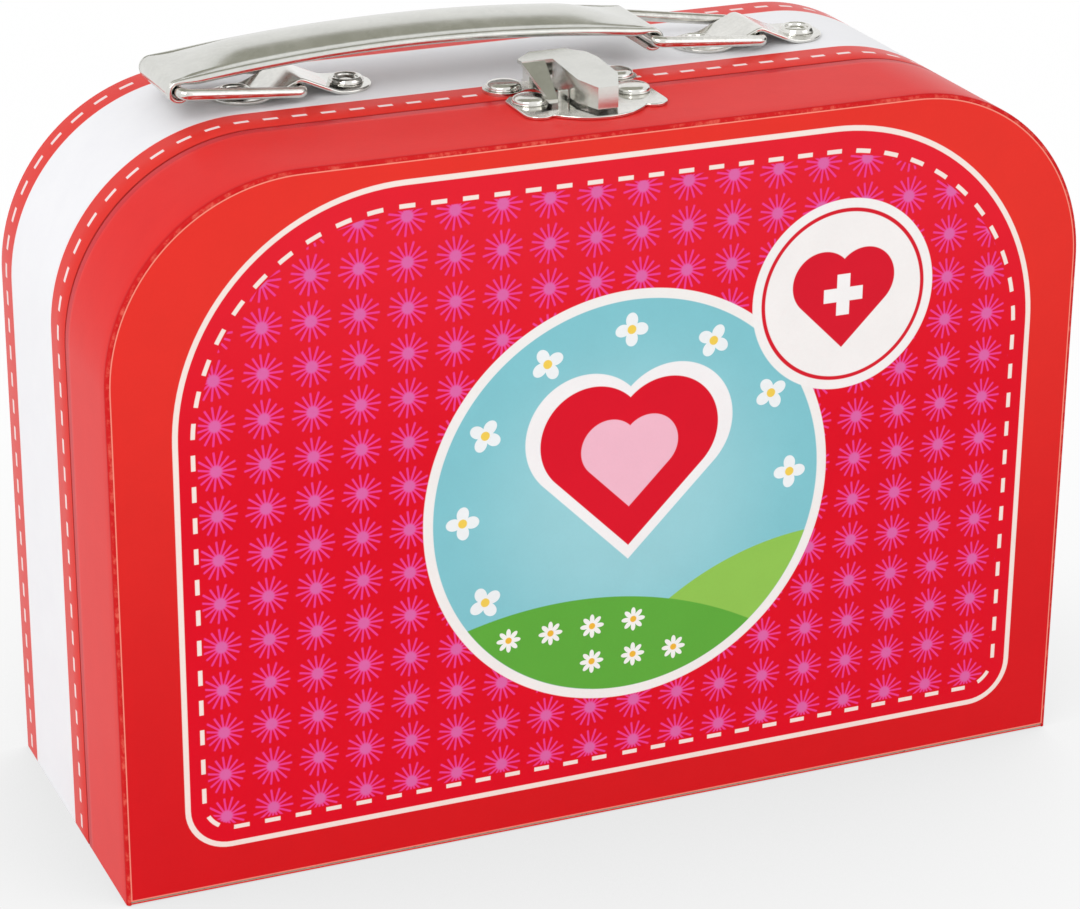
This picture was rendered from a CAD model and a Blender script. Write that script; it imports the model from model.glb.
# %% [markdown]
# # A toy doctor case
#
# The case is a small cardboard suitcase. Its rear half is a tray and its front half is a lid,
# and a strip of cloth under the base joins them. Printed paper covers the board, and the
# fittings are thin nickel-plated steel. The solids come from the CAD model. This script loads
# them as a fixed frame and gives each visible part its real surface, print and finish.

# %% Load the frame
import math
import bmesh
import bpy
import numpy as np
from mathutils import Matrix, Vector


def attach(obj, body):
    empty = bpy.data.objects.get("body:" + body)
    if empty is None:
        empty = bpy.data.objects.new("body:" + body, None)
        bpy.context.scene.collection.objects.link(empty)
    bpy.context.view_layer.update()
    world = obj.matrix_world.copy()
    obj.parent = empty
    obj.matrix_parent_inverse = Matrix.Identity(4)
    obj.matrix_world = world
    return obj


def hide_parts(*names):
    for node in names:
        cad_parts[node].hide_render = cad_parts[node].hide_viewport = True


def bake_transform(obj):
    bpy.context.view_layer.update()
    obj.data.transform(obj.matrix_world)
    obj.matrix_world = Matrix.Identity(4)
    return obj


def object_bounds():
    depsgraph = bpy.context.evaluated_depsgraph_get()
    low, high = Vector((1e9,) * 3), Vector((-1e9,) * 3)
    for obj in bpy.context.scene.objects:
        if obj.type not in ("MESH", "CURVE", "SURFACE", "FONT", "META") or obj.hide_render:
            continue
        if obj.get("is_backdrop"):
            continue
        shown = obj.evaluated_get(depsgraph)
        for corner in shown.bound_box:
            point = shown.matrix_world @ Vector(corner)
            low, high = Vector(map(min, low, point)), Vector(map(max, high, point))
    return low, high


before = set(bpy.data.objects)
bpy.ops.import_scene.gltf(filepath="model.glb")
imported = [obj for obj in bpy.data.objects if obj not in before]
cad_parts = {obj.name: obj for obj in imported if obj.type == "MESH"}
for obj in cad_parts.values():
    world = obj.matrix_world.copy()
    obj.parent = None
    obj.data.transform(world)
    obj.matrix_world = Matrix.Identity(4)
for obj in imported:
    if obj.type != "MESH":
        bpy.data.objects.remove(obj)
start_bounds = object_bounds()
print("frame box in metres:", start_bounds)

# %% [markdown]
# ## Sizes
#
# The part's source works in millimetres, and its main sizes are repeated here. Shapes are
# worked out in millimetres, and are turned into metres once, when a mesh is made.

# %% Sizes in millimetres
MM = 0.001
CASE_W, CASE_H, CORNER_R = 200.0, 142.0, 38.0
FRONT_Y, BACK_Y, SEAM_Y = -36.0, 36.0, -10.0
TRAY_RIM_Y, LID_RIM_Y = SEAM_Y + 0.15, SEAM_Y - 0.15
PAPER_T, CLOTH_HALF = 0.3, 14.0
HANDLE_Y, TUNNEL_X, TUNNEL_Z = 10.4, 48.25, 144.0
WIRE_R, LINK_LEN, LINK_ANGLE = 1.1, 25.0, math.radians(7.0)
LATCH_X = 1.2
print("case", CASE_W, "by", CASE_H, "by", BACK_Y - FRONT_Y)

# %% [markdown]
# ## Camera
#
# The picture was taken from the left and a little above, with a long lens. Three unit vectors
# give the camera's turn: right, up, and the way back to the lens.

# %% Camera
AZIMUTH, ELEVATION = math.radians(-22.993), math.radians(22.632)
ROLL, DISTANCE, AIM = math.radians(0.428), 0.7066, Vector((-0.000416, 0, 0.0635))
FOCAL_PIXELS, PICTURE_PIXELS = 3503.6, 1080
scene = bpy.context.scene
lens = bpy.data.cameras.new("camera")
lens.sensor_width = 36
lens.lens = FOCAL_PIXELS * lens.sensor_width / PICTURE_PIXELS
camera = bpy.data.objects.new("camera", lens)
scene.collection.objects.link(camera)
back = Vector((math.sin(AZIMUTH) * math.cos(ELEVATION),
               -math.cos(AZIMUTH) * math.cos(ELEVATION), math.sin(ELEVATION)))
level = (-back).cross(Vector((0, 0, 1))).normalized()
above = level.cross(-back)
right = math.cos(ROLL) * level + math.sin(ROLL) * above
up = math.cos(ROLL) * above - math.sin(ROLL) * level
turn = Matrix((right, up, back)).transposed().to_4x4()
camera.matrix_world = Matrix.Translation(AIM + back * DISTANCE) @ turn
scene.camera = camera
print("lens", round(lens.lens, 2), "mm")

# %% [markdown]
# ## Points on a grid
#
# Nearly every part is a function of two parameters: how far along, and how far across. Its
# points are one numpy array, and its faces are the squares between them. When a closed shape's
# signed volume comes out negative, its faces are turned to show the outside.

# %% Grids, caps and meshes
def squares(rows, columns, ring=False, first=0):
    """Four corners of each square of a grid whose point (i, j) is first + i * columns + j.

    With ring, the last column joins the first.
    """
    i, j = np.meshgrid(np.arange(rows - 1), np.arange(columns if ring else columns - 1),
                       indexing="ij")
    i, j = i.ravel(), j.ravel()
    k = (j + 1) % columns
    corners = [i * columns + j, (i + 1) * columns + j, (i + 1) * columns + k, i * columns + k]
    return np.stack(corners, axis=1) + first


def capped(rows, columns):
    """Faces of a grid of closed rings, with one more face over each end."""
    ends = [list(range(columns)), list(range((rows - 1) * columns, rows * columns))[::-1]]
    return squares(rows, columns, ring=True).tolist() + ends


def closed(mesh, weld):
    """Merges points in the same place, such as a pole, and turns the faces outwards.

    Returns the signed volume that the faces held before, in cubic millimetres.
    """
    work = bmesh.new()
    work.from_mesh(mesh)
    if weld:
        bmesh.ops.remove_doubles(work, verts=work.verts, dist=1e-7)
    size = work.calc_volume(signed=True)
    if size < 0:
        bmesh.ops.reverse_faces(work, faces=work.faces)
    work.to_mesh(mesh)
    work.free()
    return size / MM ** 3


def placed(name, data):
    thing = bpy.data.objects.new(name, data)
    scene.collection.objects.link(thing)
    return thing


def dressed(name, mesh, body, stands_for, crease):
    """An object, smooth up to an angle, that rides on a body and stands for CAD nodes."""
    mesh.shade_smooth()
    mesh.set_sharp_from_angle(angle=math.radians(crease))
    thing = placed(name, mesh)
    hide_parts(*stands_for)
    if body:
        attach(thing, body)
    return thing


def piece(name, points, faces, body, stands_for, slot, material=None, uv=None, fields=None,
          weld=False, crease=35):
    """Makes an object from points in millimetres, with one UV pair per point.

    fields are named numbers per point, which a material can read as attributes.
    """
    mesh = bpy.data.meshes.new(name)
    mesh.from_pydata((points.reshape(-1, 3) * MM).tolist(), [], faces)
    if uv is not None:
        corner = np.empty(len(mesh.loops), np.int32)
        mesh.loops.foreach_get("vertex_index", corner)
        layer = mesh.uv_layers.new(name="run")
        layer.data.foreach_set("uv", (uv[corner] * MM).astype(np.float32).ravel())
    for key, numbers in (fields or {}).items():
        field = mesh.attributes.new(key, "FLOAT", "POINT")
        field.data.foreach_set("value", numbers.astype(np.float32))
    size = closed(mesh, weld)
    if material:
        mesh.materials.append(material)
    print(f"{name}: {len(mesh.polygons)} faces, {abs(size):.1f} cubic mm")
    return dressed(name, mesh, body, stands_for, crease)

# %% [markdown]
# ## Writing patterns as formulas
#
# A material is a small program made of nodes. A Term is a number that a node gives, and adding
# or multiplying two terms places the node that does so. A Net places the other nodes. Colours
# are given as on screen, from 0 to 255, and turned into the linear numbers Blender works with.

# %% Colours and terms
def paint(red, green, blue):
    """Linear RGBA of a screen colour: ((c + 0.055) / 1.055) ** 2.4, or c / 12.92 in the dark."""
    c = np.array([red, green, blue], float) / 255
    linear = np.where(c <= 0.04045, c / 12.92, ((c + 0.055) / 1.055) ** 2.4)
    return (*linear.tolist(), 1.0)


class Term:
    """What one node of a net gives. Signs and words between terms place further nodes."""

    def __init__(self, net, socket):
        self.net, self.socket = net, socket


for word, what in (("__add__", "ADD"), ("__sub__", "SUBTRACT"), ("__mul__", "MULTIPLY"),
                   ("__truediv__", "DIVIDE"), ("__abs__", "ABSOLUTE"), ("part", "FRACT"),
                   ("whole", "FLOOR"), ("sine", "SINE"), ("cosine", "COSINE"),
                   ("larger", "MAXIMUM"), ("smaller", "MINIMUM"), ("near", "COMPARE")):
    setattr(Term, word, lambda *terms, what=what: terms[0].net.math(what, *terms))

# %% A helper for nodes
class Net:
    """Adds nodes to one node tree."""

    def __init__(self, tree):
        self.tree = tree

    def join(self, socket, value):
        """Puts a term, a plain number or a colour on an input."""
        if isinstance(value, Term):
            self.tree.links.new(value.socket, socket)
        else:
            socket.default_value = value

    def node(self, kind, inputs=(), **settings):
        """Places a node and fills its inputs, which are given by name or number."""
        made = self.tree.nodes.new(kind)
        for key, value in settings.items():
            setattr(made, key, value)
        for key, value in dict(inputs).items():
            self.join(made.inputs[key], value)
        return made

    def term(self, output, kind, inputs=(), **settings):
        """Places a node and returns one of its outputs."""
        return Term(self, self.node(kind, inputs, **settings).outputs[output])

    def math(self, what, *values):
        return self.term(0, "ShaderNodeMath", enumerate(values), operation=what)

    def length(self, x, z):
        return self.math("SQRT", x * x + z * z)

    def angle(self, x, z):
        return self.math("ARCTAN2", z, x)

    def scaled(self, value, low, high, to_low, to_high, rise="LINEAR"):
        """The value, carried over from the range low to high to the range to_low to to_high."""
        return self.term(0, "ShaderNodeMapRange", enumerate((value, low, high, to_low, to_high)),
                         interpolation_type=rise)

    def soft(self, value, low, high):
        """0 below low, 1 above high, and an S-shaped rise between them."""
        return self.scaled(value, low, high, 0.0, 1.0, "SMOOTHSTEP")

    def inside(self, over, blur):
        """1 where a distance over an outline is negative, and a soft edge as wide as blur."""
        return self.soft(over, blur, -blur)

    def mix(self, share, first, second, blend="MIX"):
        return self.term(2, "ShaderNodeMix", {0: share, 6: first, 7: second},
                         data_type="RGBA", blend_type=blend)

    def printed(self, ink, *layers):
        """Lays inks over a colour: each layer is a mask and a colour as on screen."""
        for mask, colour in layers:
            ink = self.mix(mask, ink, paint(*colour))
        return ink

    def noise(self, place, scale, detail=2.0, rough=0.5):
        return self.term("Fac", "ShaderNodeTexNoise", {
            "Vector": place, "Scale": scale, "Detail": detail, "Roughness": rough})

    def split(self, place):
        """The three numbers of a place."""
        return [Term(self, socket)
                for socket in self.node("ShaderNodeSeparateXYZ", {0: place}).outputs]

    def place(self):
        return self.term("Object", "ShaderNodeTexCoord")

    def run(self):
        """Length along the wall and depth, from the UV map."""
        return self.split(self.term("UV", "ShaderNodeTexCoord"))[:2]

    def field(self, name):
        return self.term("Fac", "ShaderNodeAttribute", attribute_name=name)

    def seen(self):
        """1 for a ray from the camera, off metal or through a clear film, and 0 for others."""
        ray = self.node("ShaderNodeLightPath").outputs
        first, *more = (Term(self, ray[f"Is {kind} Ray"])
                        for kind in ("Camera", "Glossy", "Transmission"))
        return first.larger(more[0].larger(more[1]))

    def surface(self, colour, height, strength, distance=0.0003):
        """Gives the shader a colour, and small shading bumps from a height pattern."""
        shader = self.tree.nodes["Principled BSDF"].inputs
        self.join(shader["Base Color"], colour)
        self.join(shader["Normal"], self.term(0, "ShaderNodeBump", {
            "Strength": strength, "Distance": distance, "Height": height}))

    def give(self, **outputs):
        """Makes the outputs of a group, which are numbers, and fills them."""
        for key in outputs:
            self.tree.interface.new_socket(key, in_out="OUTPUT", socket_type="NodeSocketFloat")
        self.node("NodeGroupOutput", outputs)

    def use(self, group, **values):
        """Places a group and returns its outputs by name."""
        inputs = {key.replace("_", " "): value for key, value in values.items()}
        made = self.node("ShaderNodeGroup", inputs, node_tree=group)
        return {socket.name: Term(self, socket) for socket in made.outputs}


def effect(name, *takes):
    """A shader node group, its net, and its inputs: numbers, apart from Place."""
    group = bpy.data.node_groups.new(name, "ShaderNodeTree")
    for key in takes:
        kind = "NodeSocketVector" if key == "Place" else "NodeSocketFloat"
        group.interface.new_socket(key, in_out="INPUT", socket_type=kind)
    net = Net(group)
    given = net.node("NodeGroupInput").outputs
    print("group", name)
    return group, net, *(Term(net, given[key]) for key in takes)


def finish(name, roughness, metal=0.0, sheen=0.0, shine=0.5):
    """A material with one Principled shader, whose plain numbers are set on its sockets."""
    made = bpy.data.materials.new(name)
    made.use_nodes = True
    inputs = made.node_tree.nodes["Principled BSDF"].inputs
    for key, value in (("Roughness", roughness), ("Metallic", metal), ("Sheen Weight", sheen),
                       ("Specular IOR Level", shine)):
        inputs[key].default_value = value
    return made, Net(made.node_tree), inputs

# %% [markdown]
# ## Paper grain
#
# Coated paper over board is never quite flat. Fine fibres show as a slight tooth, and the glue
# makes slow waves and faint clouds of tone.

# %% The paper grain group
PAPER_GRAIN, net, place = effect("paper_grain", "Place")
tooth = net.noise(place, 1700.0, 3.0, 0.6)
waves = net.noise(place, 45.0, 1.0, 0.4)
cloud = net.noise(place, 130.0, 3.0, 0.55)
net.give(Height=tooth * 0.12 + waves, Tone=tooth * 0.35 + cloud * 0.65)

# %% [markdown]
# ## A printed row of stitches
#
# The case imitates a sewn one, so rows of short dashes are printed along its edges. The group
# takes how far a point is along the row and across it, and compares that with the middle of
# the nearest dash.

# %% The stitch group
INK_EDGE = 0.0001
STITCHES, net, run, across, pitch, length, width = effect(
    "printed_stitches", "Run", "Across", "Pitch", "Length", "Width")
along = abs((run / pitch).part() - 0.5) * pitch
over_end = along - length * 0.5
over_side = abs(across) - width * 0.5
net.give(Mask=net.inside(over_end, INK_EDGE) * net.inside(over_side, INK_EDGE))

# %% [markdown]
# ## Starbursts in rows
#
# The red ground carries a common pattern of small bursts: a soft disc with thin rays. Each
# point finds the middle of its own cell. The angle left over beside the nearest ray, times the
# distance from the middle, is the distance to that ray, so a ray keeps its width.

# %% The starburst group
RAYS, RAY_LEN, RAY_LEN_CHANGE = 15, 0.0039, 0.00022
BURSTS, net, x, z, pitch_x, pitch_z, start_x, start_z = effect(
    "starbursts", "X", "Z", "Pitch X", "Pitch Z", "Start X", "Start Z")
off_x = (((x - start_x) / pitch_x + 0.5).part() - 0.5) * pitch_x
off_z = (((z - start_z) / pitch_z + 0.5).part() - 0.5) * pitch_z
reach = net.length(off_x, off_z)
share = net.angle(off_x, off_z) * (RAYS / (2 * math.pi)) + 0.5
beside = abs(share.part() - 0.5) * (reach * (2 * math.pi / RAYS))
tip = (share.whole() * 2.4).sine() * RAY_LEN_CHANGE + RAY_LEN
net.give(Disc=net.soft(reach, 0.00150, 0.00085), Shade=net.soft(reach, 0.0042, 0.0010),
         Rays=net.inside(reach - tip, 0.0002) * net.soft(beside, 0.00029, 0.00013))

# %% [markdown]
# ## Hearts, discs and flowers
#
# The round picture is made of simple shapes. A heart is a square on its corner, with a half
# disc on each of its two upper sides. A flower with n petals is where the distance from its
# middle is less than a wave that repeats n times round it.

# %% Shape groups for the picture
SHAPE_EDGE = 0.00012
HEART, net, x, z, mid_x, mid_z, size = effect("heart", "X", "Z", "Mid X", "Mid Z", "Size")
side_x, rise_z = abs(x - mid_x), z - mid_z + size
half = size * 0.62
from_u = (rise_z + side_x) * math.sqrt(0.5) - half
from_v = (rise_z - side_x) * math.sqrt(0.5) - half
over_square = abs(from_u).larger(abs(from_v)) - half
over_disc = net.length(from_u - half, from_v) - half
net.give(Mask=net.inside(over_square, SHAPE_EDGE).larger(net.inside(over_disc, SHAPE_EDGE)))

DISC, net, x, z, mid_x, mid_z, radius = effect("disc", "X", "Z", "Mid X", "Mid Z", "Radius")
reach = net.length(x - mid_x, z - mid_z)
net.give(Mask=net.inside(reach - radius, SHAPE_EDGE), Reach=reach)

FLOWER, net, x, z, petals, radius = effect("flower", "X", "Z", "Petals", "Radius")
reach = net.length(x, z)
wave = abs((net.angle(x, z) * (petals * 0.5)).cosine())
net.give(Petal=net.inside(reach - radius * (wave * 0.55 + 0.45), INK_EDGE),
         Eye=net.inside(reach - radius * 0.27, INK_EDGE))

# %% [markdown]
# ## Nickel with use
#
# Plated steel in use is not a mirror. Fingers leave cloudy smears, which change its gloss more
# than its colour, and there are fine scratches.

# %% The worn plating group
PLATING, net, place = effect("worn_plating", "Place")
smear = net.noise(place, 160.0, 4.0, 0.6)
speck = net.noise(place, 1400.0, 2.0, 0.7)
stretched = net.term(0, "ShaderNodeMapping", {
    "Vector": place, "Scale": (1, 14, 14), "Rotation": (0.3, 0.5, 0.9)})
scratch = net.noise(stretched, 260.0)
net.give(Tone=speck * 0.3 + smear * 0.7, Height=scratch * 0.5 + smear * 0.5,
         Gloss=scratch * 0.4 + net.soft(smear, 0.35, 0.7) * 0.6)

# %% [markdown]
# ## Metal finishes
#
# The grip and hasp are satin, the plates and rivets brighter, and the washers inside are plain
# steel. They differ in two tones and two gloss values, so one function makes them.

# %% Make the metals
def metal_finish(name, dull, bright, glossy, matt):
    """Plated metal between two tones and two roughness values, both led by the smears."""
    made, net, inputs = finish(name, glossy, metal=1.0)
    worn = net.use(PLATING, Place=net.place())
    net.join(inputs["Roughness"], net.scaled(worn["Gloss"], 0.1, 0.8, glossy, matt))
    net.surface(net.mix(net.soft(worn["Tone"], 0.3, 0.7), dull, bright), worn["Height"], 0.06,
                0.0002)
    return made


SATIN = metal_finish("satin_nickel", paint(208, 208, 203), paint(220, 220, 215), 0.2, 0.27)
BRIGHT = metal_finish("bright_nickel", paint(212, 211, 206), paint(230, 229, 224), 0.09, 0.17)
WIRE = metal_finish("wire_nickel", paint(200, 198, 192), paint(236, 235, 230), 0.09, 0.2)
STEEL = metal_finish("washer_steel", paint(150, 150, 148), paint(190, 190, 187), 0.3, 0.5)
print("metals", SATIN.name, BRIGHT.name, WIRE.name, STEEL.name)

# %% [markdown]
# ## Light, floor and background
#
# A white world lights the case, and a large soft lamp at the upper left adds direction. Rays
# from the camera and off metal see a world of strength 1, so both show the same white. Cards
# that only reflections see give the metal contrast.
#
# The lid opens downwards, past the plane that the case stands on. So the floor is white for
# light that bounces, and for the camera it is a clear film, darkened where the case hides the
# sky from it. The film keeps the soft shadow, and the open lid shows through it.

# %% World and lamps
WORLD_LIGHT, FILM_SHADE, SHADE_REACH = 0.74, 0.62, 0.6
world = bpy.data.worlds.new("white_studio")
scene.world = world
world.use_nodes = True
net = Net(world.node_tree)
sky = world.node_tree.nodes["Background"].inputs
net.join(sky["Strength"], net.scaled(net.seen(), 0.0, 1.0, WORLD_LIGHT, 1.0))
sky["Color"].default_value = (1, 1, 1, 1)

for name, place, power in (("soft_key", (-1.0, -0.8, 1.1), 8.0),
                           ("soft_fill", (0.9, -1.0, 0.6), 1.6)):
    made = bpy.data.lights.new(name, "AREA")
    made.size, made.energy = 0.9, power
    lamp = placed(name, made)
    lamp.location = place
    aim = Vector((0, 0, 0.07)) - Vector(place)
    lamp.rotation_euler = aim.to_track_quat("-Z", "Y").to_euler()

# %% Floor and cards
def on_stage(name, middle, across, along, made):
    """A flat square face round middle, spanned by two vectors in metres."""
    m, a, b = (np.array(v, float) for v in (middle, across, along))
    mesh = bpy.data.meshes.new(name)
    mesh.from_pydata([(m - a - b).tolist(), (m + a - b).tolist(), (m + a + b).tolist(),
                      (m - a + b).tolist()], [], [[0, 1, 2, 3]])
    mesh.materials.append(made)
    thing = placed(name, mesh)
    thing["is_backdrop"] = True
    return thing


for name, middle, across, along, colour, strength in (
        ("dark_card_high", (0, 0.35, 1.3), (0.9, 0, 0), (0, 0.62, -0.1),
         paint(168, 168, 156), 1.0),
        ("dark_card_right", (1.5, 0.2, 0.35), (0, 0.5, 0), (0, 0, 0.3),
         paint(150, 150, 146), 0.3)):
    made, net, inputs = finish(name, 0.5, shine=0.0)
    inputs["Base Color"].default_value = (0, 0, 0, 1)
    inputs["Emission Color"].default_value = colour
    inputs["Emission Strength"].default_value = strength
    card = on_stage(name, middle, across, along, made)
    for kind in ("camera", "diffuse", "transmission", "shadow"):
        setattr(card, "visible_" + kind, False)

floor_paint, net, inputs = finish("floor_white", 0.9, shine=0.0)
inputs["Base Color"].default_value = (0.93, 0.93, 0.93, 1)
open_sky = net.term("AO", "ShaderNodeAmbientOcclusion", {"Distance": SHADE_REACH}, samples=12)
film = net.term(0, "ShaderNodeBsdfTransparent", {
    "Color": net.scaled(open_sky, 0.0, 1.0, FILM_SHADE, 1.0)})
nodes = floor_paint.node_tree.nodes
white = Term(net, nodes["Principled BSDF"].outputs[0])
both = net.term(0, "ShaderNodeMixShader", enumerate((net.seen(), white, film)))
net.join(nodes["Material Output"].inputs["Surface"], both)
on_stage("floor", (0, 0, -0.0002), (4, 0, 0), (0, 4, 0), floor_paint)
scene.view_settings.view_transform = "Standard"
print("lamps, floor and two cards")

# %% [markdown]
# ## Outlines
#
# The wall follows one outline, seen from the front: up the left side, over the top and down.
# The printed lines follow smaller closed outlines. All of these have the same number of points
# on each side and corner, so a sheet between two of them is a simple grid.

# %% Outline functions
def wall_outline(straight=12, corner=40):
    """Open path from the lower left to the lower right, with unit normals that point out."""
    turn = np.concatenate([np.full(straight, math.pi), np.linspace(math.pi, math.pi / 2, corner),
                           np.full(straight, math.pi / 2)])
    out = np.stack([np.cos(turn), np.sin(turn)], 1)
    middle = np.array([CORNER_R - CASE_W / 2, CASE_H - CORNER_R])
    path = middle + CORNER_R * out
    path[:straight, 1] = np.linspace(0, middle[1], straight + 1)[:-1]
    path[-straight:, 0] = np.linspace(middle[0], 0, straight + 1)[1:]
    flip = np.array([-1.0, 1.0])
    return [np.concatenate([half, (half * flip)[-2::-1]]) for half in (path, out)]


def run_along(path):
    """Length along a path of points, from 0 at its first point."""
    return np.concatenate([[0.0], np.cumsum(np.linalg.norm(np.diff(path, axis=0), axis=1))])


def frame_outline(x0, x1, z0, z1, top_r, low_r, side=40, top=30, arc=34, low=12):
    """Closed path round a rectangle with rounded corners, from the middle of the bottom.

    Each corner is a quarter circle, and each straight side joins two of them. The last four
    numbers are counts of points.
    """
    middle = ((x0 + x1) / 2, z0)
    parts = [np.stack([np.linspace(middle[0], x1 - low_r, side), np.full(side, z0)], 1)]
    for mid_x, mid_z, r, start, count, goal, more in (
            (x1 - low_r, z0 + low_r, low_r, -90, low, (x1, z1 - top_r), side),
            (x1 - top_r, z1 - top_r, top_r, 0, arc, (x0 + top_r, z1), top),
            (x0 + top_r, z1 - top_r, top_r, 90, arc, (x0, z0 + low_r), side),
            (x0 + low_r, z0 + low_r, low_r, 180, low, middle, side)):
        a = np.radians(start + np.linspace(0, 90, count + 1))[1:]
        parts.append(np.stack([mid_x + r * np.cos(a), mid_z + r * np.sin(a)], 1))
        parts.append(np.linspace(parts[-1][-1], goal, more + 1)[1:])
    return np.concatenate(parts)


print("wall outline is", round(run_along(wall_outline()[0])[-1], 1), "mm long")

# %% [markdown]
# ## Cover papers
#
# A strip of printed paper is glued round each half and turned over the outer edge of the
# board. A closed section is carried along the wall outline: the outside, a small round, the
# lip on the face, and the inside. Its UV map is length along the wall and depth.

# %% Carry a section round the wall
EDGE_R, LIP_T = 0.7, 0.28


def wall_cover(name, rim_y, face_y, lip, body, node, slot):
    """Closed strip of paper from rim_y to the face, with an edge rounded by EDGE_R.

    A point of the section is (depth y, inset): outline - inset * normal at depth y.
    """
    sign = 1.0 if face_y > rim_y else -1.0
    a = np.radians(np.linspace(0, 90, 9))
    edge_y = face_y - sign * EDGE_R * (1 - np.sin(a))
    start = rim_y + sign * np.array([0.0, 0.0, 0.05, 0.15])
    flat = np.linspace(start[-1], face_y - sign * EDGE_R, 9)[1:-1]
    lip_y = face_y - sign * np.array([0.0, LIP_T, LIP_T])
    depth = np.concatenate([start, flat, edge_y, lip_y])
    inset = np.concatenate([[PAPER_T, 0.15, 0.05, 0.0], np.zeros(7), EDGE_R * (1 - np.cos(a)),
                            [lip, lip, PAPER_T]])
    path, out = wall_outline()
    places = path[:, None, :] - inset[None, :, None] * out[:, None, :]
    rows, columns = places.shape[:2]
    depth = np.broadcast_to(depth, (rows, columns))
    points = np.stack([places[..., 0], depth, places[..., 1]], -1)
    run = np.broadcast_to(run_along(path)[:, None], (rows, columns))
    uv = np.stack([run, depth], -1).reshape(-1, 2)
    return piece(name, points, capped(rows, columns), body, [node], slot, uv=uv, crease=50)


tray_cover = wall_cover("tray_cover_paper", TRAY_RIM_Y, BACK_Y, 0.9, "tray",
                        "base_wall_paper", "white_paper")
lid_cover = wall_cover("lid_cover_paper", LID_RIM_Y, FRONT_Y, 0.8, "lid",
                       "lid_wall_paper", "red_paper")

# %% [markdown]
# ## The print on the tray's wall
#
# The tray is white with a red band along its rear edge and another along its rim. A row of
# stitches runs down each band. At the rear edge the paper is rubbed to its pale core in places.

# %% Tray cover finish
REAR_BAND, RIM_BAND, BAND_EDGE = 0.0280, -0.00035, 0.00008
REAR_ROW, RIM_ROW = 0.0319, -0.0051


def rubbed(net, depth, start, full, low, high):
    """Mask of patches in a strip along an edge, where the paper is rubbed."""
    patches = net.soft(net.noise(net.place(), 420.0, 4.0, 0.7), low, high)
    return net.soft(depth, start, full) * patches


TRAY_PRINT, net, _ = finish("tray_print", 0.3, shine=0.07)
along, depth = net.run()
grain = net.use(PAPER_GRAIN, Place=net.place())
white = net.mix(grain["Tone"], paint(240, 240, 244), paint(250, 250, 252))
red = net.mix(grain["Tone"], paint(222, 44, 38), paint(234, 58, 48))
band = net.soft(depth, REAR_BAND - BAND_EDGE, REAR_BAND + BAND_EDGE).larger(
    net.soft(depth, RIM_BAND + BAND_EDGE, RIM_BAND - BAND_EDGE))
pale_edge = depth.near(REAR_BAND - 0.00018, 0.00016).larger(
    depth.near(RIM_BAND + 0.00021, 0.00016))
rear_row, rim_row = (
    net.use(STITCHES, Run=along, Across=depth - middle, Pitch=0.0057, Length=0.0029,
            Width=0.0011)["Mask"] for middle in (REAR_ROW, RIM_ROW))
turned = net.soft(depth, -0.00945, -0.00975)
rub = rubbed(net, depth, 0.0356, 0.0359, 0.5, 0.75)
ink = net.printed(
    net.mix(band, white, red), (pale_edge * 0.5, (250, 222, 216)),
    (rear_row.larger(rim_row), (249, 226, 224)), (turned * 0.55, (120, 14, 20)),
    (rub * 0.6, (236, 190, 178)))
net.surface(ink, grain["Height"], 0.3)
tray_cover.data.materials.append(TRAY_PRINT)
print("tray print", len(TRAY_PRINT.node_tree.nodes), "nodes")

# %% [markdown]
# ## The lid's red wall
#
# The lid's paper is red all over. It darkens where it turns towards the front, and a fold
# along the rim shows as a narrow dark line with a deeper red beside it.

# %% Lid cover finish
LID_RED, net, _ = finish("lid_red", 0.3, shine=0.04)
_, depth = net.run()
grain = net.use(PAPER_GRAIN, Place=net.place())
red = net.mix(grain["Tone"], paint(224, 34, 34), paint(236, 48, 44))
near_front = net.soft(depth, -0.0345, -0.0356)
by_fold = net.soft(depth + net.noise(net.place(), 60.0) * 0.0006, -0.01200, -0.01175)
fold = net.soft(depth, -0.01050, -0.01025)
rub = rubbed(net, depth, -0.0356, -0.0359, 0.45, 0.7)
red = net.printed(red, (near_front * 0.45, (176, 12, 26)), (by_fold * 0.85, (212, 10, 30)),
                  (fold * 0.6, (120, 10, 18)), (rub * 0.5, (250, 130, 108)))
net.surface(red, grain["Height"], 0.3)
lid_cover.data.materials.append(LID_RED)
print("lid red", len(LID_RED.node_tree.nodes), "nodes")

# %% [markdown]
# ## Printed face panels
#
# The front is a separate sheet, glued inside the turned lip, with a white line and a row of
# stitches on it. It is built from rings: its own edge, both printed lines with a ring on each
# side, and rings that shrink to the middle. Each point stores its distance from each line, so
# the lines stay crisp at any size of render.

# %% Rings from the edge to the middle
LINE = (-87.4, 89.5, 9.2, 137.2, 45.0, 8.5)
ROW = (-84.1, 86.2, 12.7, 132.7, 41.5, 6.0)
SHEET = (-99.2, 99.2, 0.8, 141.2, CORNER_R - 0.8, 0.05)
MIDDLE = np.array([1.0, 71.0])


def moved_in(sizes, d):
    """The same frame, d millimetres further in on every side."""
    moved = np.array(sizes) + d * np.array([1, -1, 1, -1, -1, -1])
    moved[5] = max(moved[5], 0.05)
    return moved


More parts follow.
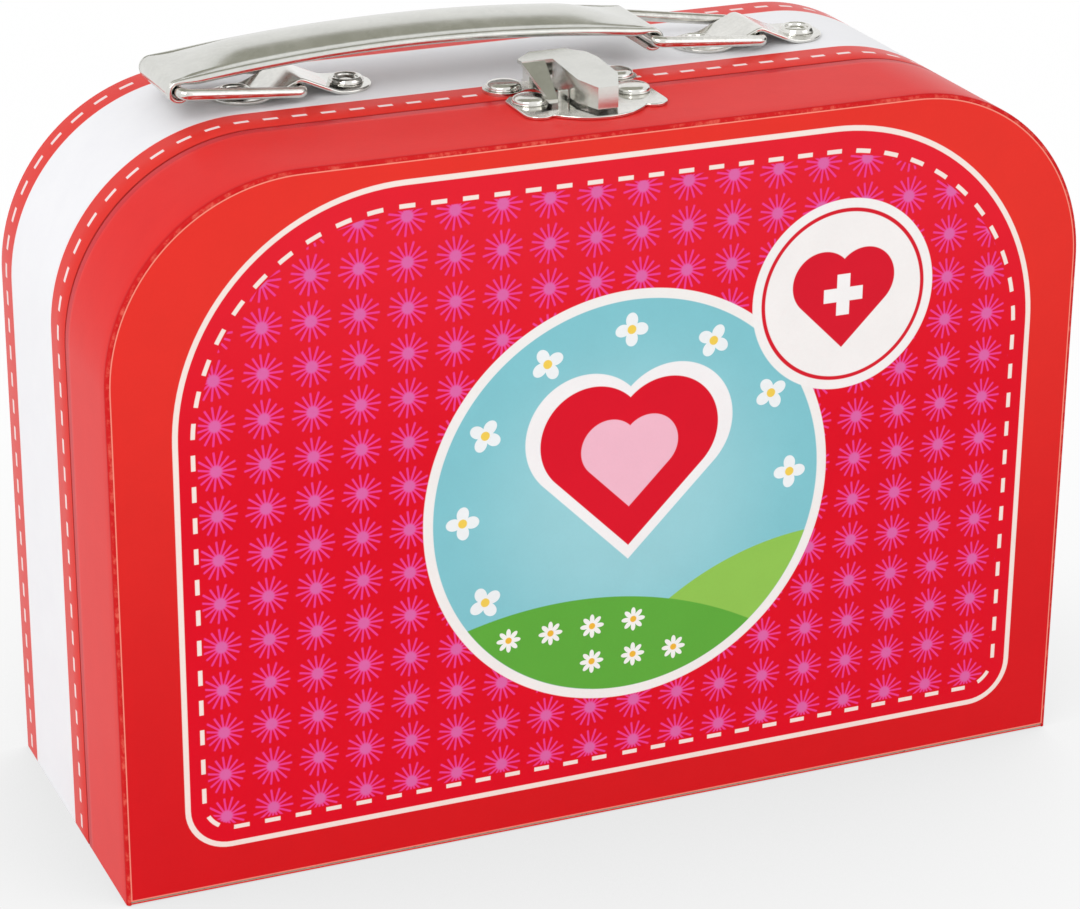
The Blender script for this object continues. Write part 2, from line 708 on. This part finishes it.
def face_print(name, face_y, core_y, body, node, slot):
    """Closed sheet with its printed side on face_y: rings on the face, and a flat rear.

    Each ring has its distances in from the line, from the row and from the sheet's edge.
    """
    rings = [(moved_in(SHEET, d), 9.0 - d, 14.0 - d, d) for d in (0.0, 0.3)]
    rings += [(moved_in(LINE, d), -d, 3.4 - d, 5.0) for d in (-1.3, 0.0, 1.3)]
    rings += [(moved_in(ROW, d), -3.6 - d, -d, 5.0) for d in (-1.2, 0.0, 1.2, 6.0)]
    paths = [frame_outline(*sizes) for sizes, *_ in rings]
    depths = [distances for _, *distances in rings]
    last = paths[-1]
    for share, deep in ((0.66, -30.0), (0.33, -60.0), (0.0, -80.0)):
        paths.append(MIDDLE + (last - MIDDLE) * share)
        depths.append((deep, deep, 5.0))
    places, levels = np.stack(paths[:1] + paths), np.full(len(paths) + 1, face_y)
    levels[0] = core_y
    rows, count = places.shape[:2]
    points = np.stack([places[..., 0], np.repeat(levels[:, None], count, 1), places[..., 1]], -1)
    table = np.repeat(np.array(depths[:1] + depths), count, axis=0) * MM
    fields = dict(zip(("line_in", "row_in", "edge_in"), table.T))
    fields["row_run"] = np.tile(run_along(frame_outline(*ROW)), rows) * MM
    faces = squares(rows, count).tolist() + [list(range(count - 1))[::-1]]
    return piece(name, points, faces, body, [node], slot, fields=fields)


front_print = face_print("front_print", FRONT_Y, FRONT_Y + PAPER_T, "lid", "lid_front_print",
                         "front_print")
rear_print = face_print("rear_print", BACK_Y, BACK_Y - PAPER_T, "tray", "base_back_paper",
                        "front_print")

# %% [markdown]
# ## The print on the faces
#
# Both faces have a red ground with a crimson field inside the white line, and rows of bursts
# inside the stitches. Each ink is laid over the one before.

# %% Ground, bursts and lines
def face_ink(net, place, picture):
    """Colour of a printed face, from the red ground up to the topmost white."""
    x, _, z = net.split(place)
    grain = net.use(PAPER_GRAIN, Place=place)
    line_in, row_in, edge_in = (net.field(name) for name in ("line_in", "row_in", "edge_in"))
    crimson = net.mix(net.soft(z, 0.07, 0.135), paint(230, 3, 33), paint(236, 30, 48))
    outer = net.mix(net.soft(z, 0.01, 0.135), paint(222, 20, 28), paint(238, 52, 42))
    ground = net.mix(net.soft(line_in, 0.0, -0.0003), outer, crimson)
    bursts = net.use(BURSTS, X=x, Z=z, Pitch_X=0.0094, Pitch_Z=0.00888, Start_X=-0.0798,
                     Start_Z=0.0153)
    within = net.soft(row_in, -0.0007, -0.0010)
    line = net.inside(abs(line_in) - 0.00054, INK_EDGE)
    row = net.use(STITCHES, Run=net.field("row_run"), Across=row_in, Pitch=0.0062,
                  Length=0.0031, Width=0.00085)["Mask"]
    ink = net.printed(ground, (bursts["Shade"] * within * 0.5, (214, 2, 42)),
                      (bursts["Rays"] * within, (243, 66, 150)),
                      (bursts["Disc"] * within, (228, 106, 172)),
                      (line.larger(row), (253, 238, 229)))
    if picture:
        ink = badge_ink(net, x, z, picture_ink(net, x, z, ink))
    ink = net.printed(ink, (net.soft(edge_in, 0.00030, 0.00018) * 0.85, (255, 158, 138)))
    tone = net.mix(grain["Tone"], paint(238, 238, 238), paint(255, 255, 255))
    return net.mix(0.8, ink, tone, "MULTIPLY"), grain["Height"]

# %% [markdown]
# ## The picture on the lid
#
# A pale blue disc in a white ring holds three hearts, small flowers and a green meadow, which
# is what lies inside both this disc and a large disc far below. The flowers divide the angle
# round the middle into equal parts. The daisies repeat on a grid, and one is drawn only where
# its own middle lies well inside both discs. A white badge with a red heart stands beside.

# %% Picture and badge
PICTURE, BADGE = (0.003, 0.068), (0.0478, 0.1035)
HILL, FAR_HILL = (-0.01, -0.032), (0.045, -0.004)
FLOWERS, FLOWER_RING, DAISY_PITCH = 12, 0.0345, (0.0088, 0.0076)


def disc(net, x, z, middle, radius):
    """Mask of a disc, and the reach from its middle."""
    return net.use(DISC, X=x, Z=z, Mid_X=middle[0], Mid_Z=middle[1], Radius=radius)


def heart(net, x, z, middle, size):
    return net.use(HEART, X=x, Z=z, Mid_X=middle[0], Mid_Z=middle[1], Size=size)["Mask"]


def picture_ink(net, x, z, ground):
    """The round picture over the ground colour."""
    blue_disc = disc(net, x, z, PICTURE, 0.0405)
    blue, reach = blue_disc["Mask"], blue_disc["Reach"]
    sky = net.mix(net.soft(reach, 0.012, 0.04), paint(158, 216, 224), paint(134, 204, 214))
    ring = disc(net, x, z, PICTURE, 0.0425)["Mask"]
    ink = net.mix(blue, net.printed(ground, (ring, (250, 247, 244))), sky)
    turns = net.angle(x - PICTURE[0], z - PICTURE[1]) * (FLOWERS / (2 * math.pi)) + 0.5
    along = (turns.part() - 0.5) * (2 * math.pi / FLOWERS) * reach
    small = net.use(FLOWER, X=along, Z=reach - FLOWER_RING, Petals=4.0, Radius=0.0034)
    far, hill = (disc(net, x, z, middle, radius)["Mask"] * blue
                 for middle, radius in ((FAR_HILL, 0.059), (HILL, 0.080)))
    off_x, off_z = (((value / pitch).part() - 0.5) * pitch
                    for value, pitch in zip((x, z), DAISY_PITCH))
    low, near = (disc(net, x - off_x, z - off_z, middle, radius)["Mask"]
                 for middle, radius in ((HILL, 0.0768), (PICTURE, 0.0373)))
    whole = net.math("GREATER_THAN", low * near, 0.5)
    daisy = net.use(FLOWER, X=off_x, Z=off_z, Petals=8.0, Radius=0.0025)
    hearts = [(heart(net, x, z, (PICTURE[0], lift), size), colour) for size, lift, colour in (
        (0.0205, 0.0755, (252, 250, 250)), (0.0176, 0.0755, (226, 14, 40)),
        (0.0096, 0.0757, (250, 192, 210)))]
    return net.printed(ink, (small["Petal"] * blue, (246, 251, 252)),
                       (small["Eye"] * blue, (250, 214, 90)), (far, (150, 204, 86)),
                       (hill, (98, 176, 62)), (daisy["Petal"] * whole, (252, 252, 248)),
                       (daisy["Eye"] * whole, (247, 190, 60)), *hearts)


def badge_ink(net, x, z, ink):
    """The white badge with a thin red ring, and a red heart with a small plus."""
    discs = [(disc(net, x, z, BADGE, radius)["Mask"], colour) for radius, colour in (
        (0.0195, (252, 249, 247)), (0.0176, (222, 26, 44)), (0.0168, (252, 249, 247)))]
    red_heart = heart(net, x, z, (BADGE[0], 0.1030), 0.0104)
    off_x, off_z = abs(x - BADGE[0]), abs(z - BADGE[1])
    arms = net.soft(off_x.larger(off_z), 0.0043, 0.0041)
    plus = arms * net.soft(off_x.smaller(off_z), 0.0015, 0.0013)
    return net.printed(ink, *discs, (red_heart, (222, 20, 44)), (plus, (253, 251, 250)))


for thing, name, picture in ((front_print, "front_ink", True), (rear_print, "rear_ink", False)):
    made, net, _ = finish(name, 0.3, shine=0.1)
    net.surface(*face_ink(net, net.place(), picture), 0.25)
    thing.data.materials.append(made)
    print(name, len(made.node_tree.nodes), "nodes")

# %% [markdown]
# ## Hinge cloth
#
# A strip of book cloth is glued under both halves and bends when the lid opens. It is one
# closed grid with close rows at the bend, and follows the tray on one side of the seam and the
# lid on the other. Its threads are two sine waves at right angles.

# %% Hinge cloth
CLOTH_X, THREAD = 99.7, 0.0007


def slab(upper, lower):
    """Points and faces of a closed sheet between two grids, with walls along its borders."""
    rows, columns = upper.shape[:2]
    points = np.concatenate([upper.reshape(-1, 3), lower.reshape(-1, 3)])
    top = squares(rows, columns)
    bottom = squares(rows, columns, first=rows * columns)[:, ::-1]
    index = np.arange(rows * columns).reshape(rows, columns)
    rim = np.concatenate([index[0, :], index[1:, -1], index[-1, -2::-1], index[-2:0:-1, 0]])
    after = np.roll(rim, -1)
    walls = np.stack([rim, after, after + rows * columns, rim + rows * columns], 1)[:, ::-1]
    return points, np.concatenate([top, bottom, walls]).tolist()


CLOTH, net, _ = finish("book_cloth", 0.75, sheen=0.25)
place = net.place()
x, y, z = net.split(place)
warp, weft = ((value * (2 * math.pi / THREAD)).sine() for value in (x, y))
slub = net.noise(place, 700.0, 2.0, 0.6)
threads = slub * 0.8 + warp * weft * 0.25 + 0.1
net.surface(net.mix(threads, paint(140, 14, 22), paint(190, 34, 38)), threads, 0.5, 0.0002)

rows_y = SEAM_Y + np.concatenate([np.linspace(-CLOTH_HALF, -1.5, 12), np.linspace(-1, 1, 17),
                                  np.linspace(1.5, CLOTH_HALF, 12)])
grid_y, grid_x = np.meshgrid(rows_y, np.linspace(-CLOTH_X, CLOTH_X, 61), indexing="ij")
upper, lower = (np.stack([grid_x, grid_y, np.full(grid_x.shape, level)], -1)
                for level in (PAPER_T, 0.0))
hinge_cloth = piece("hinge_cloth", *slab(upper, lower), None,
                    ["hinge_cloth_base", "hinge_cloth_lid"], "hinge_cloth", CLOTH, crease=60)
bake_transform(hinge_cloth)

# %% [markdown]
# ## Board and linings
#
# These parts are flat and their solids are right, so they stay. Grey board is pressed from
# waste paper with coloured fibres in it. The lining is matt, and the base papers match the
# walls above them.

# %% Board and lining finishes
BOARD, net, _ = finish("grey_board", 0.85)
place = net.place()
fibre = net.noise(place, 900.0, 4.0, 0.7)
fleck = net.soft(net.noise(place, 1500.0, 2.0, 0.6), 0.66, 0.72)
base = net.mix(fibre, paint(150, 138, 120), paint(188, 176, 156))
net.surface(net.printed(base, (fleck, (92, 84, 76))), fibre, 0.5)


def plain_paper(name, gloss, dark, light, bumps, scuff=0.0, scuffed=None):
    """Paper between two tones, led by its grain, with patches of a scuffed colour."""
    made, net, _ = finish(name, gloss, shine=0.2)
    grain = net.use(PAPER_GRAIN, Place=net.place())
    colour = net.mix(grain["Tone"], dark, light)
    if scuffed:
        patches = net.soft(net.noise(net.place(), 90.0, 5.0, 0.7), 0.6, 0.75)
        colour = net.printed(colour, (patches * scuff, scuffed))
    net.surface(colour, grain["Height"], *bumps)
    return made


LINING = plain_paper("lining_paper", 0.6, paint(222, 220, 213), paint(238, 237, 232),
                     (0.4, 0.0004))
BASE_WHITE = plain_paper("base_white", 0.4, paint(230, 231, 235), paint(243, 244, 246),
                         (0.3,), 0.5, (196, 192, 186))
BASE_RED = plain_paper("base_red", 0.38, paint(222, 34, 34), paint(234, 48, 44),
                       (0.3,), 0.4, (226, 130, 118))
KEPT_SOLIDS = [
    (BOARD, ["base_back_board", "base_wall_board", "base_bottom_board",
             "lid_front_board", "lid_wall_board", "lid_bottom_board"]),
    (LINING, ["base_wall_lining", "base_back_lining", "lid_wall_lining", "lid_front_lining"]),
    (BASE_WHITE, ["base_bottom_paper"]), (BASE_RED, ["lid_bottom_paper"]),
    (STEEL, ["bracket_washers", "latch_rear_washers", "latch_front_washers"]),
    (WIRE, ["latch_pin"])]
for made, names in KEPT_SOLIDS:
    for name in names:
        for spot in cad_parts[name].material_slots:
            spot.material = made
    print(made.name, "covers", ", ".join(names))

# %% [markdown]
# ## Tubes along a path
#
# Wire is a circle carried along a path, spanned at each point by two vectors at right angles
# to it. A loop lies in one plane, so one of them is the plane's normal and nothing can twist.

# %% Wire links
LOOP_NARROW, LOOP_WIDE, LOOP_BEND = 8.0, 11.0, 1.6


def rounded_loop(corners, r, steps=9):
    """Closed plane path through the corners, each rounded by an arc of radius r.

    The arc runs between the points where a circle of radius r touches both sides.
    """
    corners = np.array(corners, float)
    before = corners - np.roll(corners, 1, axis=0)
    after = np.roll(corners, -1, axis=0) - corners
    before /= np.linalg.norm(before, axis=1)[:, None]
    after /= np.linalg.norm(after, axis=1)[:, None]
    bend = np.arccos(np.clip((before * after).sum(1), -1, 1))
    cut = (r * np.tan(bend / 2))[:, None]
    inward = np.stack([-before[:, 1], before[:, 0]], 1)
    a = (bend[:, None] * np.linspace(0, 1, steps))[..., None]
    arc = (corners - before * cut)[:, None] + r * (
        np.sin(a) * before[:, None] + (1 - np.cos(a)) * inward[:, None])
    return arc.reshape(-1, 2)


def wire_link(name, low_x, body, node):
    """Closed loop: circle of WIRE_R carried round a four-cornered path with small bends."""
    loop = rounded_loop([(0, -LOOP_NARROW), (LINK_LEN, -LOOP_WIDE), (LINK_LEN, LOOP_WIDE),
                         (0, LOOP_NARROW)], LOOP_BEND)
    way = np.array([-math.cos(LINK_ANGLE), 0, math.sin(LINK_ANGLE)])
    depth = np.array([0, 1.0, 0])
    plane_normal = np.cross(way, depth)
    path = np.array([low_x, HANDLE_Y, TUNNEL_Z]) + loop[:, :1] * way + loop[:, 1:] * depth
    ahead = np.roll(path, -1, axis=0) - np.roll(path, 1, axis=0)
    ahead /= np.linalg.norm(ahead, axis=1)[:, None]
    aside = np.cross(ahead, plane_normal)
    a = np.linspace(0, 2 * math.pi, 21)[:-1, None]
    points = path[:, None] + WIRE_R * (np.cos(a) * aside[:, None] + np.sin(a) * plane_normal)
    points = np.concatenate([points, points[:1]])
    faces = squares(*points.shape[:2], ring=True).tolist()
    piece(name, points, faces, body, [node], "nickel_wire", WIRE, weld=True)


wire_link("wire_link_left", -TUNNEL_X, "left_link", "link_left")
wire_link("wire_link_right", TUNNEL_X, "right_link", "link_right")

# %% [markdown]
# ## Grip
#
# The grip is pressed from one strip. It is crowned across its width, its long edges are
# rolled into beads, and both ends curl round the wire. The section changes along the path:
# the crown flattens out before each end, and the beads open out into the sheet of the curl.

# %% Grip
PIVOT_Z = TUNNEL_Z + LINK_LEN * math.sin(LINK_ANGLE)
GRIP_MID = -LINK_LEN * math.cos(LINK_ANGLE)
ARCH_R, ARCH_Z, ARCH_HALF = 354.39, -202.64, math.radians(7.826)
SHEET_T, GRIP_W, CURL_R, CROWN, BEAD_R = 0.9, 19.0, 2.3, 1.95, 0.9
CROWN_FADE, BEAD_FADE = 16.0, 4.5


def grip_path():
    """Points of the sheet's outer side, its outward normals, and the share along the arch."""
    arch_low, arch_high = math.pi / 2 - ARCH_HALF, math.pi / 2 + ARCH_HALF
    left = np.linspace(math.radians(318), arch_high, 34)[:-1]
    arch = np.linspace(arch_high, arch_low, 81)
    right = np.linspace(arch_low, math.radians(-138), 34)[1:]
    parts = []
    for a, middle, r, share in (
            (left, (GRIP_MID - TUNNEL_X, PIVOT_Z), CURL_R, np.zeros(len(left))),
            (arch, (GRIP_MID, ARCH_Z), ARCH_R + SHEET_T, np.linspace(0, 1, len(arch))),
            (right, (GRIP_MID + TUNNEL_X, PIVOT_Z), CURL_R, np.ones(len(right)))):
        out = np.stack([np.cos(a), np.sin(a)], 1)
        parts.append((np.array(middle) + r * out, out, share))
    return [np.concatenate(column) for column in zip(*parts)]


def grip_section(crown, bead):
    """Closed sections (rows, across and height): top, right bead, underside, left bead.

    The top is crown * (1 - (u / w)²) with a fine groove at its sides. A bead is most of a
    circle. Its radius is half the sheet in the curls, and grows to BEAD_R on the arch.
    """
    r = SHEET_T / 2 + (BEAD_R - SHEET_T / 2) * bead
    w = GRIP_W / 2 - 1.95 * r
    t = np.linspace(-1, 1, 45)
    u = w * np.sign(t) * np.abs(t) ** 0.8
    groove = 0.42 * bead * np.exp(-((np.abs(u) - w) / 0.28) ** 2)
    top_h = crown * (1 - (u / w) ** 2) - groove
    a = np.radians(np.linspace(135, -165, 23))
    bead_u = GRIP_W / 2 - r + r * np.cos(a)
    bead_h = -r + r * np.sin(a)
    low_u = w * np.linspace(1, -1, 33)
    low_h = crown * (1 - (low_u / w) ** 2) - SHEET_T
    return (np.concatenate([u, bead_u, low_u, -bead_u[:, ::-1]], 1),
            np.concatenate([top_h, bead_h, low_h, bead_h[:, ::-1]], 1))


def eased(share):
    """An S-shaped rise from 0 to 1: 3 s² - 2 s³."""
    share = np.clip(share, 0, 1)[:, None]
    return share * share * (3 - 2 * share)


spots, normal, share = grip_path()
from_end = np.minimum(share, 1 - share) * 2 * ARCH_HALF * ARCH_R
across, height = grip_section(CROWN * eased(from_end / CROWN_FADE),
                              eased((from_end + 0.5) / BEAD_FADE))
points = np.stack([spots[:, :1] + height * normal[:, :1], HANDLE_Y + across,
                   spots[:, 1:] + height * normal[:, 1:]], -1)
piece("pressed_grip", points, capped(*points.shape[:2]), "grip", ["handle_grip"], "nickel",
      SATIN, crease=60)

# %% [markdown]
# ## Brackets
#
# A bracket is a strip with round ends that is bent up over the wire like a low tent. Its
# height falls away in a quarter circle close to the outline, as a soft stamped edge.

# %% Brackets
BRACKET_L, BRACKET_W, BRACKET_T, STAMPED_R = 32.0, 13.0, 0.8, 0.28
TOP_R, TOP_RISE, TOP_HALF = 2.18, 1.2, 1.09
RAMP_END, RAMP_SLOPE, SOFT_CORNER = 7.9, 3.088 / 6.81, 0.15


def tent(x):
    """Height of the strip's upper side: a round top, a ramp, and a flat that it runs into.

    The ramp meets the flat in a soft corner: (h + sqrt(h² + SOFT_CORNER)) / 2 for the height
    h above the flat, faded out away from the corner.
    """
    x = np.abs(x)
    rise = (RAMP_END - x) * RAMP_SLOPE
    top = TOP_RISE + np.sqrt(np.clip(TOP_R ** 2 - x ** 2, 0, None))
    soft = 0.5 * (rise + np.sqrt(rise ** 2 + SOFT_CORNER)) * np.clip((11 - x) / 2.5, 0, 1)
    return BRACKET_T + np.where(x < TOP_HALF, top, np.minimum(soft, top.max()))


def bracket(name, mid_x, node):
    """Closed strip between an upper and a lower height field over a stadium outline."""
    half = BRACKET_W / 2
    straight = (BRACKET_L - BRACKET_W) / 2
    end = np.radians(np.linspace(90, 0, 18))
    middle = np.linspace(-straight, straight, 77)[1:-1]
    x = np.concatenate([-straight - half * np.sin(end), middle,
                        straight + half * np.sin(end[::-1])])
    w = half * np.concatenate([np.cos(end), np.ones(len(middle)), np.cos(end[::-1])])
    v = np.sin(np.linspace(-math.pi / 2, math.pi / 2, 33))
    grid_x, grid_y = np.repeat(x[:, None], len(v), 1), w[:, None] * v
    past = np.clip(np.abs(grid_x) - straight, 0, None)
    from_edge = np.clip((half - np.hypot(past, grid_y)) / STAMPED_R, 0, 1)
    drop = STAMPED_R * (1 - np.sqrt(1 - (1 - from_edge) ** 2))
    top = tent(grid_x)
    low = top - BRACKET_T * np.sqrt(1 + np.gradient(tent(x), x) ** 2)[:, None]
    edge_mid = (top + low) / 2
    levels = np.maximum(top - drop, edge_mid), np.maximum(np.minimum(low + drop, edge_mid), 0.0)
    upper, lower = (np.stack([mid_x + grid_x, HANDLE_Y + grid_y, CASE_H + level], -1)
                    for level in levels)
    piece(name, *slab(upper, lower), "tray", [node], "nickel", BRIGHT, weld=True)


bracket("tent_bracket_left", -TUNNEL_X, "bracket_left")
bracket("tent_bracket_right", TUNNEL_X, "bracket_right")

# %% [markdown]
# ## Rivets
#
# A rivet's profile turns round its axis. It goes from the top of the head down the shank to
# the foot inside the case. The brackets have hollow rivets, and the latch has plain domes.

# %% Rivets
RIM_R = 0.18
SHANK = np.array([(1.5, 142.0), (1.5, 139.5), (1.5, 138.92), (2.1, 138.9), (2.3, 138.75),
                  (2.3, 138.5), (2.0, 138.3), (0.0, 138.3)])


def rivet_profile(seat, hollow):
    """Radius and height from the upper pole to the lower one, for a head of 7 by 1.5 mm.

    A plain head is a flattened dome: r = 3.42 sin(t) ** 0.75 and z = 0.34 + 1.14 cos(t) ** 0.75.
    A hollow one has a dished middle and a rolled collar with a radius of 0.5 mm.
    """
    if hollow:
        a = np.radians(np.linspace(180, 30, 11))
        dish = [(0.0, 0.62), (0.7, 0.55), (1.4, 0.38), (1.9, 0.33), (2.15, 0.45)]
        collar = np.stack([2.75 + 0.5 * np.cos(a), 0.62 + 0.5 * np.sin(a)], 1)
        head = np.concatenate([dish, collar, [(3.35, 0.5)]])
    else:
        a = np.radians(np.linspace(0, 90, 13))
        head = np.stack([3.42 * np.sin(a) ** 0.75, 0.34 + 1.14 * np.cos(a) ** 0.75], 1)
    a = np.radians(np.linspace(60, -90, 7))
    rim = np.stack([3.32 + RIM_R * np.cos(a), RIM_R + RIM_R * np.sin(a)], 1)
    profile = np.concatenate([head + (0, seat), rim + (0, seat), SHANK])
    profile[-len(SHANK), 1] = seat
    return profile.T


def rivet_set(name, places, seat, hollow, body, node):
    """One object of rivets: each profile point turns through a full circle about its axis."""
    r, z = rivet_profile(seat, hollow)
    a = np.linspace(0, 2 * math.pi, 41)[:-1]
    points, faces = [], []
    for n, (mid_x, mid_y) in enumerate(places):
        points.append(np.stack([mid_x + r[:, None] * np.cos(a), mid_y + r[:, None] * np.sin(a),
                                np.repeat(z[:, None], len(a), 1)], -1))
        faces.append(squares(len(r), len(a), ring=True, first=n * len(r) * len(a)))
    piece(name, np.concatenate(points), np.concatenate(faces).tolist(), body, [node],
          "nickel", BRIGHT, weld=True, crease=40)


pairs = [(side * TUNNEL_X + out * 11.2, HANDLE_Y) for side in (-1, 1) for out in (-1, 1)]
rivet_set("hollow_rivets", pairs, 142.8, True, "tray", "bracket_rivets")
rivet_set("rear_plate_rivets", [(LATCH_X - 11.7, -4.6), (LATCH_X + 11.7, -4.6)], 142.7, False,
          "tray", "latch_rear_rivets")
rivet_set("front_plate_rivets", [(LATCH_X - 10.6, -15.0), (LATCH_X + 10.6, -15.0)], 142.7, False,
          "lid", "latch_front_rivets")

# %% [markdown]
# ## Latch plates, catch and hasp
#
# These stampings already have the right outline and bends. Each solid's mesh is copied, its
# triangles are merged into whole faces, and a small bevel rounds every edge, so the edges
# catch the light as thin bright rims.

# %% Rounded copies of the stampings
def stamped(node, name, body, made, width, steps=3):
    """Copy of a CAD node's mesh with merged faces and a rounded edge, standing for the node."""
    work = bmesh.new()
    work.from_mesh(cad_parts[node].data)
    bmesh.ops.remove_doubles(work, verts=work.verts, dist=2e-6)
    bmesh.ops.dissolve_limit(work, angle_limit=math.radians(2), verts=work.verts,
                             edges=work.edges)
    mesh = bpy.data.meshes.new(name)
    work.to_mesh(mesh)
    work.free()
    mesh.materials.clear()
    mesh.materials.append(made)
    thing = dressed(name, mesh, body, [node], 40)
    bevel = thing.modifiers.new("rounded", "BEVEL")
    bevel.width, bevel.segments = width * MM, steps
    bevel.limit_method, bevel.angle_limit = "ANGLE", math.radians(28)
    print(f"{name}: {len(mesh.polygons)} faces before rounding")


stamped("latch_rear_plate", "stamped_rear_plate", "tray", BRIGHT, 0.16)
stamped("latch_front_plate", "stamped_front_plate", "lid", BRIGHT, 0.2)
stamped("latch_catch", "stamped_catch", "lid", BRIGHT, 0.08, 2)
stamped("latch_hasp", "stamped_hasp", "hasp", SATIN, 0.3, 4)

# %% [markdown]
# ## Measure and hand over
#
# The dressed case has to fill the same box as the solids, so both boxes are written to a file.
# The last call checks that everything rides on a body, and writes the table of pieces.

# %% Sizes and finish
end_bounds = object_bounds()
plain = lambda box: [[float(value) for value in corner] for corner in box]
{"cad": plain(start_bounds), "visual": plain(end_bounds)}
print("solids ", plain(start_bounds))
print("dressed", plain(end_bounds))
